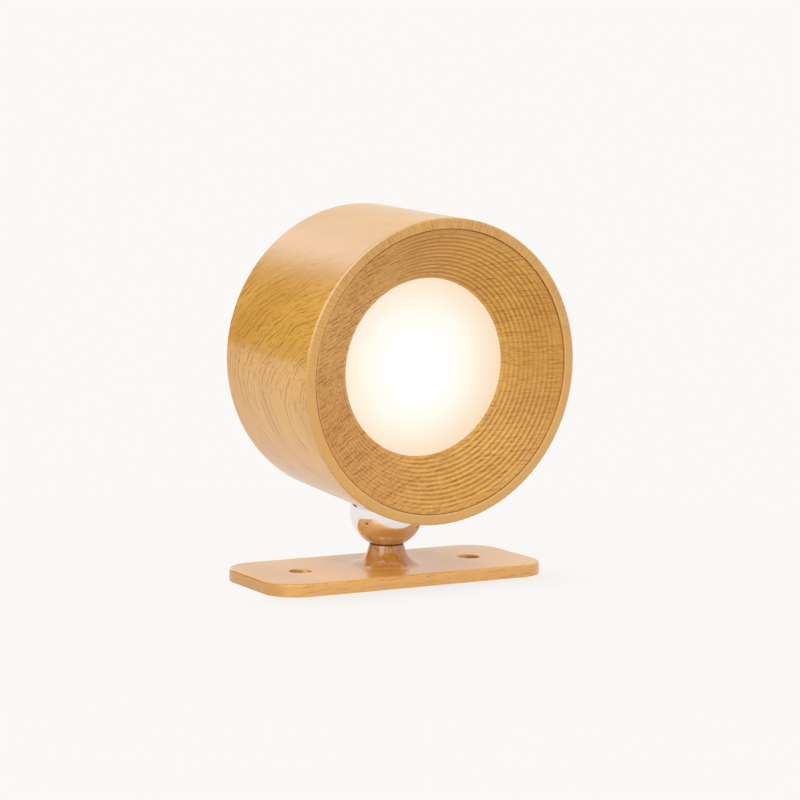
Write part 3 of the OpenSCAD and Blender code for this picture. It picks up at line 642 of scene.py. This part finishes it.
LOOKS = {
    "base_plate": "plate", "ball": "chrome", "ball_washer": "rubber", "ball_screw": "steel",
    "socket_liner": "black", "magnet": "steel", "pole_cup": "steel", "socket_retainer": "white",
    "retainer_screws": "steel", "drum_shell": "drum", "baffle": "baffle", "lens": "lens",
    "reflector": "white", "led_board": "led_board", "leds": "led", "led_leads": "lead",
    "chassis": "white", "chassis_screws": "steel", "battery_tray": "white", "tray_screws": "steel",
    "battery": "cell", "battery_tabs": "steel", "control_board": "board", "board_screws": "steel",
    "board_parts": "black", "charging_port": "steel", "switch_base": "black", "switch_plunger": "white",
    "light_pipe": "white", "back_cover": "back", "cover_screws": "steel", "push_button": "back",
}
for name, look in LOOKS.items():
    slots = nodes[name].data.materials
    slots.clear()
    slots.append(MATERIALS[look])


def paper_material():
    """Pale paper, which the camera sees as plain white with the object's shadow on it."""
    shader = Shader("floor_paper")
    x, y, z = shader.row_mm()
    out = shader.reach(x, y)
    speck = shader.noise(shader.vector(x, y, z), scale=0.02)
    paper = shader.mix(speck, (0.79, 0.78, 0.765, 1.0), (0.77, 0.76, 0.745, 1.0))
    paper = shader.mix(shader.ramp(out, 250.0, 1100.0), paper, (0.34, 0.335, 0.33, 1.0))
    shader.set(Base_Color=paper, Roughness=0.9, Specular_IOR_Level=0.1)
    glow = shader.node("ShaderNodeEmission")
    glow.inputs["Color"].default_value = PALE
    glow.inputs["Strength"].default_value = 1.0
    path = shader.node("ShaderNodeLightPath").outputs
    shown = shader.math("MAXIMUM", path["Is Camera Ray"], path["Is Transmission Ray"])
    shown = shown + shader.math("MULTIPLY", path["Is Glossy Ray"], 0.8)
    # The shadow shows most just in front of the base
    ahead = -BASE_FRONT - y
    near = shader.ramp(ahead, 24.0, 0.0) * shader.ramp(ahead, -12.0, -2.0)
    near = near * shader.ramp(abs(x), 62.0, 36.0)
    share = 0.965 + shader.ramp(out, 80.0, 220.0) * 0.035 - near * 0.25
    mixed = shader.node("ShaderNodeMixShader")
    shader.feed(mixed.inputs[0], shown * share)
    shader.feed(mixed.inputs[1], shader.bsdf.outputs[0])
    shader.feed(mixed.inputs[2], glow.outputs[0])
    shader.feed(shader.out.inputs["Surface"], mixed.outputs[0])
    return shader.material


def studio_floor():
    """A wide pale floor under the object, in metres."""
    half = 6.0
    corners = [(-half, -half, 0), (half, -half, 0), (half, half, 0), (-half, half, 0)]
    mesh = bpy.data.meshes.new("floor")
    mesh.from_pydata(corners, [], [(0, 1, 2, 3)])
    mesh.materials.append(paper_material())
    floor = bpy.data.objects.new("floor", mesh)
    bpy.context.scene.collection.objects.link(floor)


def surround():
    """A pale surround with a dim side behind the object, which the camera sees as plain white."""
    world = bpy.data.worlds.new("studio")
    bpy.context.scene.world = world
    tree = Tree(world)
    light = tree.node("ShaderNodeBackground")
    tree.feed(tree.node("ShaderNodeOutputWorld").inputs[0], light.outputs[0])
    x, y, z = tree.split(tree.node("ShaderNodeTexCoord").outputs["Generated"])
    # Behind the object it is dim to the left, bright in the middle and even to the right
    level = 0.12 + tree.ramp(x, -0.31, -0.04) * 1.92 - tree.ramp(x, -0.12, 0.42) * 1.10
    # Overhead is even, so is the side that the camera stands on, and a pale wall stands on the far left
    high = tree.ramp(z, 0.62, 0.80)
    front = tree.ramp(-y, -0.1, 0.4)
    wall = tree.ramp(-x, 0.56, 0.78)
    path = tree.node("ShaderNodeLightPath").outputs
    shown = tree.math("MAXIMUM", path["Is Camera Ray"], path["Is Transmission Ray"])
    for share, strength in ((high, 0.84), (front, 0.86), (wall, 0.85), (shown, 1.0)):
        level = level * (1.0 - share) + share * strength
    light.inputs["Color"].default_value = PALE
    tree.feed(light.inputs["Strength"], level)


def lamp(name, place, aim, size, watts):
    """A square soft lamp that looks at aim, in metres."""
    data = bpy.data.lights.new(name, "AREA")
    data.shape = "RECTANGLE"
    data.size = size
    data.size_y = size
    data.energy = watts
    made = bpy.data.objects.new(name, data)
    bpy.context.scene.collection.objects.link(made)
    made.location = place
    made.rotation_euler = (Vector(aim) - Vector(place)).to_track_quat("-Z", "Y").to_euler()


def camera():
    """The photograph's viewpoint, in metres. Pixel values are in its 800 by 800 frame."""
    frame_px = 800.0
    focal_px = 2177.35
    middle_px = (388.452, 379.853)
    sensor_mm = 36.0
    distance = 0.658709
    target = Vector((0, 0, 0.060))
    azimuth, height, roll = math.radians(-29.566), math.radians(5.032), math.radians(0.655)
    level = Vector((math.sin(azimuth), -math.cos(azimuth), 0))
    back = level * math.cos(height) + Vector((0, 0, math.sin(height)))
    place = target + back * distance
    right = Vector((math.cos(azimuth), math.sin(azimuth), 0))
    up = back.cross(right)
    right, up = (
        right * math.cos(roll) + up * math.sin(roll),
        up * math.cos(roll) - right * math.sin(roll),
    )
    # The axis goes through the middle of the frame, so that no shift is needed
    off_x, off_y = frame_px / 2 - middle_px[0], frame_px / 2 - middle_px[1]
    back = (back * focal_px - right * off_x + up * off_y).normalized()
    right = up.cross(back).normalized()
    up = back.cross(right)
    data = bpy.data.cameras.new("camera")
    data.sensor_width = sensor_mm
    data.lens = focal_px / frame_px * sensor_mm
    data.clip_start = 0.01
    data.clip_end = 50.0
    made = bpy.data.objects.new("camera", data)
    bpy.context.scene.collection.objects.link(made)
    matrix = Matrix((right, up, back)).transposed().to_4x4()
    matrix.translation = place
    made.matrix_world = matrix
    bpy.context.scene.camera = made


studio_floor()
surround()
lamp("key_softbox", place=(-0.9, -0.5, 0.50), aim=(0, 0, 0.06), size=0.6, watts=2.0)
lamp("front_softbox", place=(-0.25, -0.95, 0.80), aim=(0, 0, 0.05), size=0.7, watts=2.7)
lamp("top_softbox", place=(-0.45, -0.5, 1.05), aim=(0, 0, 0.05), size=0.4, watts=0.9)
camera()

scene = bpy.context.scene
scene.view_settings.view_transform = "Standard"
